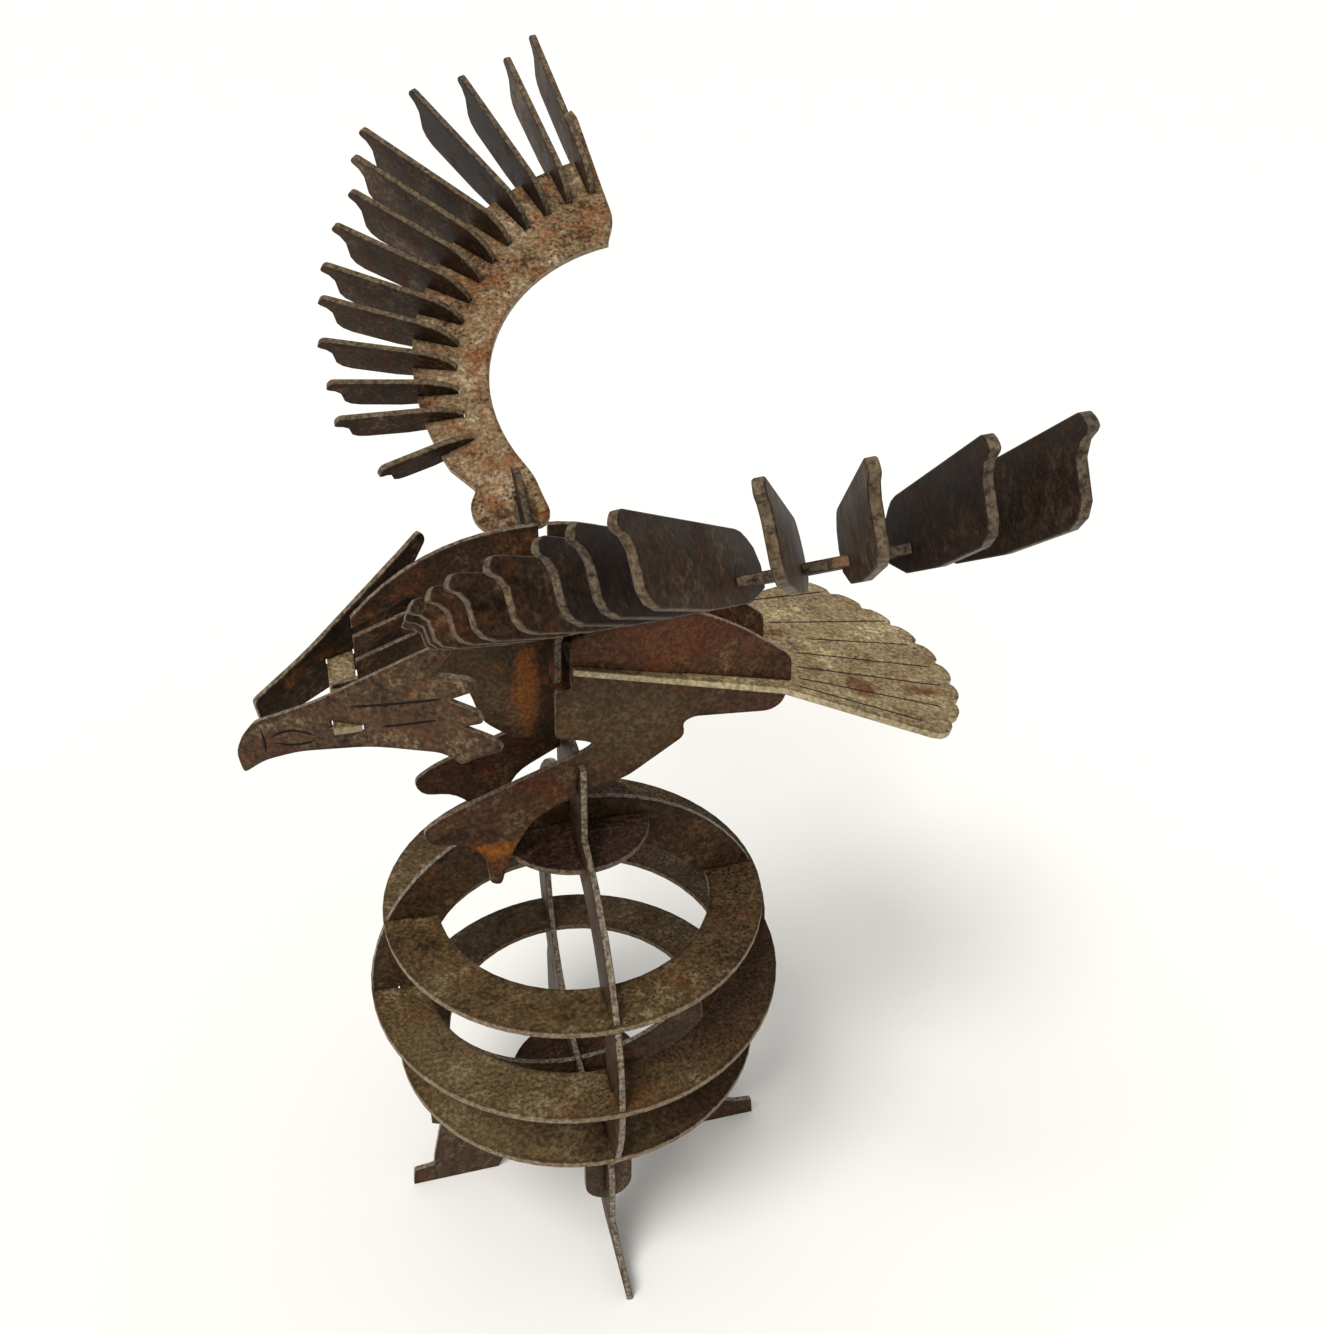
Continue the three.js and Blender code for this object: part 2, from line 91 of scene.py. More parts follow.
# ---- shader graph ----------------------------------------------------------
class Wire:
    """A node's output socket that can be used in Python arithmetic."""

    def __init__(self, graph: "Graph", socket: bpy.types.NodeSocket) -> None:
        """Wraps one output socket of a graph."""
        self.graph = graph
        self.socket = socket

    def _math(self, operation: str, first: Any, second: Any) -> "Wire":
        """One Math node on two values.

        Args:
            operation: The Math node's operation.
            first: Its first value or wire.
            second: Its second value or wire.

        Returns:
            The node's result.
        """
        return self.graph.add("ShaderNodeMath", {"operation": operation}, {0: first, 1: second})

    def __add__(self, other: Any) -> "Wire":
        """Sum."""
        return self._math("ADD", self, other)

    __radd__ = __add__

    def __sub__(self, other: Any) -> "Wire":
        """Difference."""
        return self._math("SUBTRACT", self, other)

    def __rsub__(self, other: Any) -> "Wire":
        """Difference the other way round."""
        return self._math("SUBTRACT", other, self)

    def __mul__(self, other: Any) -> "Wire":
        """Product."""
        return self._math("MULTIPLY", self, other)

    def rise(self, low: float, high: float) -> "Wire":
        """Smooth step from 0 at low to 1 at high.

        Args:
            low: Value that gives 0.
            high: Value that gives 1; it may be the smaller one.

        Returns:
            The stepped value.
        """
        settings = {"interpolation_type": "SMOOTHSTEP"}
        if low < high:
            return self.graph.add("ShaderNodeMapRange", settings, {0: self, 1: low, 2: high})
        return 1 - self.graph.add("ShaderNodeMapRange", settings, {0: self, 1: high, 2: low})


class Graph:
    """Node tree of one material."""

    def __init__(self, name: str) -> None:
        """Makes an empty material.

        Args:
            name: The material's name.
        """
        self.material = bpy.data.materials.new(name)
        self.material.use_nodes = True
        self.tree = self.material.node_tree
        self.tree.nodes.clear()

    def node(self, kind: str, settings: dict[str, Any], inputs: dict[Any, Any]) -> bpy.types.Node:
        """Adds one node of any type.

        Args:
            kind: The node's type name.
            settings: Its properties, set first; "stops" are a ramp's (place, colour) pairs.
            inputs: Socket name or number to a value, a colour or a wire.

        Returns:
            The new node.
        """
        made = self.tree.nodes.new(kind)
        for key, value in settings.items():
            if key == "stops":
                ramp = made.color_ramp
                while len(ramp.elements) < len(value):
                    ramp.elements.new(0.5)
                for element, (place, colour) in zip(ramp.elements, value):
                    element.position = place
                    element.color = (*colour, 1)
            else:
                setattr(made, key, value)
        for key, value in inputs.items():
            if isinstance(value, Wire):
                self.tree.links.new(value.socket, made.inputs[key])
            elif isinstance(value, tuple) and made.inputs[key].type == "RGBA":
                made.inputs[key].default_value = (*value, 1)
            else:
                made.inputs[key].default_value = value
        return made

    def add(self, kind: str, settings: dict[str, Any], inputs: dict[Any, Any], out: Any = 0) -> Wire:
        """Adds one node and returns one of its outputs.

        Args:
            kind: The node's type name.
            settings: Its properties.
            inputs: Its sockets' values or wires.
            out: Name or number of the output.

        Returns:
            That output as a wire.
        """
        return Wire(self, self.node(kind, settings, inputs).outputs[out])

    def mix(self, amount: Any, first: Any, second: Any, blend: str = "MIX") -> Wire:
        """Blends two colours.

        Args:
            amount: 0 for the first colour, 1 for the second.
            first: A colour or wire.
            second: A colour or wire.
            blend: The Mix node's way of blending.

        Returns:
            The blended colour.
        """
        settings = {"data_type": "RGBA", "blend_type": blend, "clamp_factor": True}
        return self.add("ShaderNodeMix", settings, {0: amount, 6: first, 7: second}, 2)

    def attribute(self, name: str) -> Wire:
        """A plate's own number at each point."""
        return self.add("ShaderNodeAttribute", {"attribute_name": name}, {}, "Fac")

    def place(self, scale: Sequence[float], offset: Sequence[float]) -> Wire:
        """Position on the object in millimetres, stretched.

        Args:
            scale: Stretch on each axis.
            offset: Shift after stretching.

        Returns:
            The stretched position.
        """
        coords = self.add("ShaderNodeTexCoord", {}, {}, "Object")
        factor = tuple(s / MM for s in scale)
        return self.add("ShaderNodeVectorMath", {"operation": "MULTIPLY_ADD"},
                        {0: coords, 1: factor, 2: tuple(offset)})

    def cloud(self, size: float, detail: float, rough: float, seed: float) -> Wire:
        """Cloudy noise from 0 to 1.

        Args:
            size: Size of its largest blots in millimetres.
            detail: Number of finer layers.
            rough: Strength of the finer layers.
            seed: Shift that makes one cloud unlike another.

        Returns:
            The noise value.
        """
        spot = self.place([1 / size] * 3, (seed, seed * 0.7, seed * 1.3))
        return self.add("ShaderNodeTexNoise", {"noise_dimensions": "3D"},
                        {"Vector": spot, "Scale": 1.0, "Detail": detail, "Roughness": rough})

    def cells(self, size: float, seed: float) -> Wire:
        """Distance to the nearest of many scattered points.

        Args:
            size: Usual distance between the points in millimetres.
            seed: Shift that makes one scatter unlike another.

        Returns:
            The distance, where 1 is the size.
        """
        spot = self.place([1 / size] * 3, (seed, seed, seed))
        return self.add("ShaderNodeTexVoronoi", {"feature": "F1"},
                        {"Vector": spot, "Scale": 1.0, "Randomness": 1.0}, "Distance")


# ---- finishes --------------------------------------------------------------
@dataclass(frozen=True)
class Stain:
    """A soft-edged patch of another colour.

    Its place is in millimetres from the globe's axis at ground level, and its size is its reach each way.
    """

    at: tuple[float, float, float]
    size: tuple[float, float, float]
    colour: Rgb
    strength: float
    ragged: float = 0.7


@dataclass(frozen=True)
class Steel:
    """Weathered hot-rolled sheet: mill scale, brown rust and pits, with cut edges painted paler (bare steel
    worn by rubbing, and a painted highlight) and a painted shade along the faces' outline.

    Patch and fine are the sizes of its largest and finest blots, and the pits' sizes are those of
    their cells, all in millimetres; relief is in metres. The rest runs from 0 for none to 1 for full.
    """

    name: str
    dark: Rgb
    mid: Rgb
    light: Rgb
    rust: Rgb = srgb(118, 70, 32)
    pit: Rgb = srgb(34, 16, 8)
    # pale colour of the cut edges: bare steel worn by rubbing, and a painted highlight
    edge: Rgb = srgb(150, 136, 114)
    patch: float = 34.0
    contrast: float = 1.0
    fine: float = 1.9
    speckle: float = 0.55
    rusty: float = 0.3
    rust_cover: float = 0.75
    pits: float = 0.4
    # gathers pits towards the globe's right, which also stands for painted shade on that side
    pit_and_shade_side: float = 0.0
    pit_sizes: tuple[float, float] = (2.3, 5.2)
    pit_cluster: float = 24.0
    pit_cover: float = 0.85
    # strength of the painted shade that darkens each face towards its outline
    painted_edge_shade: float = 0.35
    groove_cover: float = 0.95
    # strength of the paler cut edges: rubbing wear and painted highlight
    edge_rub_and_highlight: float = 0.75
    rough: float = 0.58
    metal: float = 0.25
    gloss: float = 0.22
    relief: float = 0.0003
    seed: float = 0.0
    stains: tuple[Stain, ...] = ()

    def build(self, axis: Vector) -> bpy.types.Material:
        """Makes the material.

        Args:
            axis: A point on the globe's axis at ground level, in metres.

        Returns:
            The material.
        """
        g = Graph(self.name)
        broad = g.cloud(self.patch, detail=3, rough=0.55, seed=self.seed)
        mottle = g.cloud(self.patch * 0.2, detail=5, rough=0.66, seed=self.seed + 3)
        grain = g.cloud(self.fine, detail=4, rough=0.68, seed=self.seed + 7)
        colour = self._scale(g, broad, mottle, grain)
        rust = g.cloud(self.patch * 0.6, detail=5, rough=0.66, seed=self.seed + 11)
        rust = (rust + mottle * 0.35).rise(0.74 - 0.22 * self.rusty, 0.96 - 0.2 * self.rusty)
        colour = g.mix(rust * self.rust_cover, colour, self.rust)
        for number, stain in enumerate(self.stains):
            blot = self._blot(g, stain, axis, mottle, number)
            colour = g.mix(blot * stain.strength, colour, stain.colour)
            rust = rust + blot * 0.4
        speck = g.mix(grain.rise(0.38, 0.64), (0.16, 0.14, 0.12), (0.8, 0.78, 0.74))
        colour = g.mix(self.speckle, colour, speck, "OVERLAY")
        pitted = self._pits(g, axis)
        colour = g.mix(pitted * self.pit_cover, colour, self.pit)
        cut = g.attribute("cut")
        # painted shade: each face darkens towards its outline, drawn in the pit colour, with the cut edge
        # itself left out
        shade = (g.attribute("rim") - cut).rise(0.2, 1.0) * self.painted_edge_shade
        colour = g.mix(shade, colour, self.pit)
        # cut edges painted paler: partly bare steel worn by rubbing, partly a painted highlight where the
        # edges catch the light
        rub_and_highlight = (cut + (mottle - 0.5) * 1.5 - 0.12).rise(0.35, 0.8) * self.edge_rub_and_highlight
        colour = g.mix(rub_and_highlight, colour, g.mix(grain.rise(0.3, 0.7), self.mid, self.edge))
        sunk = g.attribute("groove").rise(0.0, 0.45) * self.groove_cover
        colour = g.mix(sunk, colour, tuple(c * 0.3 for c in self.pit))
        saw = g.add("ShaderNodeTexNoise", {"noise_dimensions": "1D"},
                    {"W": g.attribute("run"), "Scale": 2.6, "Detail": 2.0, "Roughness": 0.5})
        height = mottle * 0.5 + grain * 0.6 - pitted * 1.1 + saw * cut * 0.8
        bump = g.add("ShaderNodeBump", {}, {"Strength": 0.6, "Distance": self.relief, "Height": height})
        shader = g.add("ShaderNodeBsdfPrincipled", {}, {
            "Base Color": colour,
            "Roughness": self.rough + rust * 0.22 + (grain - 0.5) * 0.22 - rub_and_highlight * 0.12,
            "Metallic": (1 - rust * 0.8) * self.metal,
            "Normal": bump,
            "Specular IOR Level": self.gloss})
        g.node("ShaderNodeOutputMaterial", {}, {"Surface": shader})
        return g.material

    def _scale(self, g: Graph, broad: Wire, mottle: Wire, grain: Wire) -> Wire:
        """Mill scale from dark to light, in blots of three sizes.

        Args:
            g: The material's graph.
            broad: Noise with the largest blots.
            mottle: Noise with middling blots.
            grain: Noise with the finest blots.

        Returns:
            The colour.
        """
        tone = broad * 0.42 + mottle * 0.36 + grain * 0.22
        tone = (tone - 0.5) * (4.4 * self.contrast) + 0.5
        colour = g.mix(tone.rise(-0.1, 0.5), self.dark, self.mid)
        return g.mix(tone.rise(0.5, 1.15), colour, self.light)

    def _pits(self, g: Graph, axis: Vector) -> Wire:
        """Small dark rust pits, in clusters.

        Args:
            g: The material's graph.
            axis: A point on the globe's axis.

        Returns:
            1 in a pit, 0 outside.
        """
        fine = g.cells(self.pit_sizes[0], self.seed + 1)
        coarse = g.cells(self.pit_sizes[1], self.seed + 2)
        cluster = g.cloud(self.pit_cluster, detail=2, rough=0.5, seed=self.seed + 5)
        side = g.add("ShaderNodeSeparateXYZ", {}, {0: g.place((1, 1, 1), (-axis.x / MM, 0, 0))}, 0)
        # more dark pits towards the globe's right: partly real speckled pitting, partly painted shade on
        # the side turned from the light
        lean = side.rise(-25, 75) * self.pit_and_shade_side
        amount = cluster.rise(0.62 - 0.25 * self.pits, 0.8 - 0.25 * self.pits) * (0.3 + self.pits) + lean
        small = fine.rise(0.36, 0.2) * amount
        large = coarse.rise(0.2, 0.1) * amount
        return g.add("ShaderNodeMath", {"operation": "ADD", "use_clamp": True}, {0: small, 1: large})

    def _blot(self, g: Graph, stain: Stain, axis: Vector, mottle: Wire, number: int) -> Wire:
        """How strongly a stain shows at each point.

        Args:
            g: The material's graph.
            stain: The stain.
            axis: A point on the globe's axis.
            mottle: Noise that makes the stain's edge ragged.
            number: The stain's number, for its own noise.

        Returns:
            0 outside the stain to 1 in its middle.
        """
        scale = [1 / s for s in stain.size]
        centre = [at + along / MM for at, along in zip(stain.at, axis)]
        offset = [-c * s for c, s in zip(centre, scale)]
        spot = g.place(scale, offset)
        reach = g.add("ShaderNodeVectorMath", {"operation": "LENGTH"}, {0: spot}, "Value")
        rag = g.cloud(min(stain.size) * 0.5, detail=4, rough=0.6, seed=self.seed + 20 + number) - 0.5
        return (reach + rag * stain.ragged + (mottle - 0.5) * stain.ragged).rise(1.0, 0.45)


# ---- plates ----------------------------------------------------------------
@dataclass(frozen=True)
class Stroke:
    """An engraved line through points (u, v) in millimetres on a plate."""

    points: tuple[tuple[float, float], ...]
    width: float = 1.5
    depth: float = 0.5
    pace: float = 1.6

    def smooth(self) -> np.ndarray:
        """Points along a smooth curve through the stroke's points.

        Returns:
            Rows of (u, v), about one pace apart.
        """
        p = np.array(self.points, float)
        p = np.vstack([2 * p[0] - p[1], p, 2 * p[-1] - p[-2]])
        out = []
        for a, b, c, d in zip(p[:-3], p[1:-2], p[2:-1], p[3:]):
            steps = max(2, int(np.hypot(*(c - b)) / self.pace))
            for t in np.arange(steps) / steps:
                out.append(0.5 * (2 * b + (c - a) * t + (2 * a - 5 * b + 4 * c - d) * t ** 2
                                  + (3 * b - a - 3 * c + d) * t ** 3))
        out.append(p[-2])
        return np.array(out)

    def groove(self, path: np.ndarray) -> list[Row]:
        """Lays the groove's bottom and its two banks along a path.

        Args:
            path: Rows of (u, v).

        Returns:
            Pairs of (u, v) rows and their depths, which run out at both ends.
        """
        ahead = np.gradient(path, axis=0)
        ahead /= np.hypot(*ahead.T)[:, None]
        order = np.arange(len(path))
        taper = np.clip(np.minimum(order, order[::-1]) / 2, 0, 1)
        out = np.stack([-ahead[:, 1], ahead[:, 0]], 1) * (taper * self.width / 2)[:, None]
        banks = [((path + way * out)[1:-1], np.zeros(len(path) - 2)) for way in (1, -1)]
        return [(path, taper * self.depth), *banks]


@dataclass
class Sheet:
    """Triangles of a plate's show face.

    Number gives an outline point's own number among the spots, depth is that of the engraved lines,
    and rim falls from 1 at the outline to 0 further in.
    """

    spots: np.ndarray
    faces: np.ndarray
    number: dict[int, int]
    depth: np.ndarray
    rim: np.ndarray

    def leads(self, loops: list[np.ndarray]) -> list[list[int]]:
        """Finds the outlines' points among the spots.

        Args:
            loops: The plate's closed outlines.

        Returns:
            One list of numbers for each outline.
        """
        found, first = [], 0
        for loop in loops:
            found.append([self.number[first + i] for i in range(len(loop))])
            first += len(loop)
        return found


class Side(Enum):
    """Which way a plate's show face looks."""

    UP = (-0.25, -0.5, 1.0)
    LEFT = (-0.2, -1.0, 0.3)
    RIGHT = (-0.2, 1.0, 0.3)
    FRONT = (-1.0, -0.3, 0.3)


def inside(points: np.ndarray, loops: list[np.ndarray]) -> np.ndarray:
    """Tells which points lie inside a set of closed loops, holes counted out.

    Args:
        points: Rows of (u, v).
        loops: Closed outlines.

    Returns:
        One truth value for each point.
    """
    result = np.zeros(len(points), bool)
    for loop in loops:
        for (x0, y0), (x1, y1) in zip(loop, np.roll(loop, -1, 0)):
            if y0 == y1:
                continue
            hit = (points[:, 1] > min(y0, y1)) & (points[:, 1] <= max(y0, y1))
            result ^= hit & (points[:, 0] < x0 + (points[:, 1] - y0) * (x1 - x0) / (y1 - y0))
    return result


def clearance(points: np.ndarray, lines: list[Row]) -> np.ndarray:
    """Distance from each point to the nearest of many straight pieces.

    Args:
        points: Rows of (u, v).
        lines: Pairs of start and end rows.

    Returns:
        One distance for each point.
    """
    best = np.full(len(points), np.inf)
    for starts, ends in lines:
        for a, b in zip(starts, ends):
            span = b - a
            t = np.clip(((points - a) @ span) / max(span @ span, LEAST), 0, 1)
            best = np.minimum(best, np.hypot(*(points - a - t[:, None] * span).T))
    return best


@dataclass
class Plate:
    """One sheet-steel plate: softened cut edges, slightly uneven faces, engraved lines.

    Lengths are in millimetres. Pace is the distance between inner points, wave the length of the
    unevenness, level the strip along the edge that stays even, margin the plain strip that engraved
    lines keep clear of, and sharp the angle in degrees from which an edge shows as a crease.
    """

    node: str
    finish: bpy.types.Material
    slot: str
    side: Side = Side.UP
    bevel: float = 0.4
    pace: float = 3.4
    uneven: float = 0.1
    wave: float = 21.0
    level: float = 2.2
    margin: float = 1.5
    sharp: float = 42.0
    origin: Vector = field(default_factory=lambda: Vector((0, 0, 0)))
    strokes: tuple[Stroke, ...] = ()
    tries: int = 6
    solid: BVHTree = field(init=False)
    normal: Vector = field(init=False)
    u: Vector = field(init=False)
    v: Vector = field(init=False)
    above: float = field(init=False)
    below: float = field(init=False)

    def build(self) -> bpy.types.Object:
        """Makes the plate and hides its CAD node.

        Returns:
            The new object.
        """
        loops = self._outline()
        mesh = self._mesh(loops, self._sheet(loops))
        piece = bpy.data.objects.new(f"{self.node}_plate", mesh)
        bpy.context.scene.collection.objects.link(piece)
        mesh.materials.append(self.finish)
        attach(piece, "root")
        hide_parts(self.node)
        LOG.info("%s: %d faces", piece.name, len(mesh.polygons))
        return piece

    def _outline(self) -> list[np.ndarray]:
        """Reads the node's outline in its own plane.

        Returns:
            The closed loops as (u, v) rows, material on their left.
        """
        bm = bmesh.new()
        bm.from_mesh(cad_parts[self.node].data)
        bmesh.ops.remove_doubles(bm, verts=bm.verts, dist=1e-6)
        bm.normal_update()
        self._turn(bm)
        self.solid = BVHTree.FromBMesh(bm)
        follow, place = self._border(bm)
        bm.free()
        loops = []
        while follow:
            here, ring = next(iter(follow)), []
            while here in follow:
                ring.append(here)
                here = follow.pop(here)
            spots = np.array([self._local(place[i]) for i in ring])
            for _ in range(3):
                spots = spots[self._corners(spots)]
            if len(spots) >= 3:
                loops.append(self._divide(spots[:, :2]))
        return loops

    def _turn(self, bm: bmesh.types.BMesh) -> None:
        """Finds the plate's own axes from its largest faces.

        Args:
            bm: The CAD solid.
        """
        show = Vector(self.side.value)
        areas: dict[tuple[float, ...], float] = {}
        for face in bm.faces:
            turn = face.normal if face.normal.dot(show) > 0 else -face.normal
            key = tuple(round(c, 2) for c in turn)
            areas[key] = areas.get(key, 0) + face.calc_area()
        rough = Vector(max(areas, key=areas.get)).normalized()
        exact = sum((f.normal * f.calc_area() for f in bm.faces if f.normal.dot(rough) > NEARLY),
                    Vector((0, 0, 0)))
        self.normal = exact.normalized()
        along = Vector((1, 0, 0)) if abs(self.normal.x) < 0.9 else Vector((0, 1, 0))
        self.u = (along - self.normal * along.dot(self.normal)).normalized()
        self.v = self.normal.cross(self.u)
        reach = [v.co.dot(self.normal) for v in bm.verts]
        self.above = max(reach) - self.origin.dot(self.normal) + RAY_START
        self.below = min(reach) - self.origin.dot(self.normal) - RAY_START

    def _border(self, bm: bmesh.types.BMesh) -> tuple[dict[int, int], dict[int, Vector]]:
        """Finds the border of the show face, or of the back where that one is larger.

        Args:
            bm: The CAD solid.

        Returns:
            Each border corner's next one and each one's place.
        """
        sizes = [sum(f.calc_area() for f in bm.faces if way * f.normal.dot(self.normal) > SHOWING)
                 for way in (1, -1)]
        way = 1 if sizes[0] >= NEARLY * sizes[1] else -1
        follow: dict[int, int] = {}
        place: dict[int, Vector] = {}
        for face in bm.faces:
            if way * face.normal.dot(self.normal) < SHOWING:
                continue
            for loop in face.loops:
                others = [f for f in loop.edge.link_faces if f is not face]
                if others and way * others[0].normal.dot(self.normal) > SHOWING:
                    continue
                pair = (loop.vert, loop.link_loop_next.vert)[::way]
                follow[pair[0].index] = pair[1].index
                place[pair[0].index] = pair[0].co.copy()
        return follow, place

    def _local(self, point: Vector) -> tuple[float, float, float]:
        """A point's (u, v, height) in millimetres."""
        arm = point - self.origin
        return arm.dot(self.u) / MM, arm.dot(self.v) / MM, arm.dot(self.normal) / MM

    @staticmethod
    def _corners(spots: np.ndarray) -> np.ndarray:
        """Marks a loop's points that are neither doubled nor on a straight run.

        Args:
            spots: Closed rows of places in millimetres.

        Returns:
            One truth value for each point.
        """
        back = np.roll(spots, 1, 0)
        chord = np.roll(spots, -1, 0) - back
        arm = spots - back
        length = np.maximum(np.linalg.norm(chord, axis=1), LEAST)
        off = np.linalg.norm(np.cross(chord, arm), axis=1) / length
        idle = (np.linalg.norm(arm, axis=1) < DOUBLED) | (off < STRAIGHT)
        idle[1:] &= ~idle[:-1]
        return ~idle

    def _divide(self, loop: np.ndarray) -> np.ndarray:
        """Splits a loop's long straight runs so that its faces stay compact.

        Args:
            loop: Closed rows of (u, v).

        Returns:
            The same outline with more points, its shortest run last.
        """
        rows = []
        for a, b in zip(loop, np.roll(loop, -1, 0)):
            steps = max(1, round(float(np.hypot(*(b - a))) / (RUN * self.pace)))
            rows += [a + (b - a) * k / steps for k in range(steps)]
        rows = np.array(rows)
        runs = np.hypot(*(np.roll(rows, -1, 0) - rows).T)
        return np.roll(rows, -int(runs.argmin()) - 1, 0)

    def _levels(self, spots: np.ndarray) -> Row:
        """Heights of the show face and of the back at each spot.

        Args:
            spots: Rows of (u, v).

        Returns:
            The upper and the lower heights in millimetres.
        """
        found = np.full((2, len(spots)), np.nan)
        for row, (start, way) in enumerate(((self.above, -self.normal), (self.below, self.normal))):
            for i, (u, v) in enumerate(spots):
                spot = self.origin + (self.u * float(u) + self.v * float(v)) * MM + self.normal * start
                hit = self.solid.ray_cast(spot, way)[0]
                if hit is not None:
                    found[row, i] = (hit - self.origin).dot(self.normal) / MM
            found[row, np.isnan(found[row])] = np.nanmedian(found[row])
        return np.maximum(found[0], found[1] + 3 * self.bevel), found[1]

    @staticmethod
    def _inset(loop: np.ndarray, widths: np.ndarray) -> np.ndarray:
        """Moves an outline into the material.

        Args:
            loop: Closed rows of (u, v), material on their left.
            widths: How far each point moves.

        Returns:
            The moved rows.
        """
        ahead = np.roll(loop, -1, 0) - loop
        ahead /= np.hypot(*ahead.T)[:, None]
        back = np.roll(ahead, 1, 0)
        out = np.stack([-ahead[:, 1] - back[:, 1], ahead[:, 0] + back[:, 0]], 1)
        share = np.maximum(1 + (ahead * back).sum(1), MITRE)
        return loop + out * (widths / share)[:, None]

    def _sheet(self, loops: list[np.ndarray]) -> Sheet:
        """Triangles of the show face with its engraved lines.

        The softened edge grows narrower wherever it would fold over itself.

        Args:
            loops: The plate's closed outlines.

        Returns:
            The show face.
        """
        widths = [np.full(len(loop), self.bevel) for loop in loops]
        lines = self._engraving(loops)
        for _ in range(self.tries):
            rims = [self._inset(loop, width) for loop, width in zip(loops, widths)]
            sheet, bad = self._triangles(rims, lines)
            if not len(bad):
                break
            for loop, width in zip(loops, widths):
                gaps = np.linalg.norm(loop[:, None] - bad[None], axis=2).min(1)
                width[gaps < FOLD_REACH * self.bevel] *= NARROWER
        else:
            LOG.warning("%s: %d open places", self.node, len(bad))
        return sheet

    def _engraving(self, loops: list[np.ndarray]) -> list[Row]:
        """Rows of points along the bottom and the two banks of each engraved line.

        Args:
            loops: The plate's outlines, which the lines stop short of.

        Returns:
            Pairs of (u, v) rows and their depths.
        """
        edges = [(loop, np.roll(loop, -1, 0)) for loop in loops]
        rows = []
        for stroke in self.strokes:
            path = stroke.smooth()
            path = path[inside(path, loops) & (clearance(path, edges) > self.margin)]
            if len(path) < FEWEST:
                LOG.warning("%s: an engraved line is too short", self.node)
                continue
            rows += stroke.groove(path)
        return rows

    def _grid(self, rims: list[np.ndarray], near: list[Row]) -> np.ndarray:
        """Staggered inner points of the show face.

        Args:
            rims: The face's closed outlines.
            near: Starts and ends of the straight pieces that the points keep clear of.

        Returns:
            Rows of (u, v).
        """
        flat = np.vstack(rims)
        low, high = flat.min(0), flat.max(0)
        grid = np.stack(np.meshgrid(np.arange(low[0], high[0], self.pace),
                                    np.arange(low[1], high[1], self.pace)), -1).reshape(-1, 2)
        grid[:, 0] += (np.round((grid[:, 1] - low[1]) / self.pace) % 2) * self.pace / 2
        grid = grid[inside(grid, rims)]
        return grid[clearance(grid, near) > CROWDED * self.pace]

    def _triangles(self, rims: list[np.ndarray], lines: list[Row]) -> tuple[Sheet, np.ndarray]:
        """Fills the show face with triangles.

        Args:
            rims: The face's closed outlines.
            lines: The engraved lines' rows and depths.

        Returns:
            The sheet, and the places where an outline crosses itself.
        """
        points = rims + [row for row, _ in lines]
        depths = [np.zeros(len(rim)) for rim in rims] + [deep for _, deep in lines]
        edges, first = [], 0
        for number, rows in enumerate(points):
            n = len(rows)
            last = n if number < len(rims) else n - 1
            edges += [(first + i, first + (i + 1) % n) for i in range(last)]
            first += n
        runs = [(rim, np.roll(rim, -1, 0)) for rim in rims]
        grid = self._grid(rims, runs + [(row[:-1], row[1:]) for row, _ in lines])
        flat = np.vstack(points + [grid])
        given = np.concatenate(depths + [np.zeros(len(grid))])
        made = delaunay_2d_cdt([Vector(p) for p in flat], edges, [], 0, 1e-4, True)
        spots = np.array([tuple(v) for v in made[0]])
        depth = np.zeros(len(spots))
        count = sum(map(len, rims))
        corner: dict[int, int] = {}
        for i, sources in enumerate(made[3]):
            for source in sources:
                depth[i] = max(depth[i], given[source])
                if source < count:
                    corner[source] = i
        faces, bad = self._flood([tuple(f) for f in made[2]], corner, rims)
        rim = 1 - np.clip(clearance(spots, runs) / self.level, 0, 1)
        places = flat[sorted(bad)] if bad else np.zeros((0, 2))
        return Sheet(spots, faces, corner, depth, rim), places

    @staticmethod
    def _flood(faces: list[tuple[int, ...]], number: dict[int, int],
               rims: list[np.ndarray]) -> tuple[np.ndarray, set[int]]:
        """Keeps the triangles on the material's side of the outlines.

        Args:
            faces: All triangles, turning left.
            number: Each outline point's number among the corners.
            rims: The outlines.

        Returns:
            The kept triangles, and the outline points whose run is broken.
        """
        owner = {edge: k for k, (a, b, c) in enumerate(faces) for edge in ((a, b), (b, c), (c, a))}
        fence, seeds, bad, first = set(), [], set(), 0
        for rim in rims:
            n = len(rim)
            for i in range(n):
                j = (i + 1) % n
                a, b = number[first + i], number[first + j]
                if a == b or (a, b) not in owner or (a, b) in fence:
                    bad |= {first + i, first + j}
                    continue
                fence.add((a, b))
                seeds.append(owner[a, b])
            first += n
        kept, queue = set(seeds), list(seeds)
        while queue:
            a, b, c = faces[queue.pop()]
            for edge in ((a, b), (b, c), (c, a)):
                back = owner.get(edge[::-1])
                if edge not in fence and back is not None and back not in kept:
                    kept.add(back)
                    queue.append(back)
        for a, b in fence:
            if owner.get((b, a)) in kept:
                bad |= {i for i, v in number.items() if v in (a, b)}
        return np.array([faces[k] for k in sorted(kept)]), bad

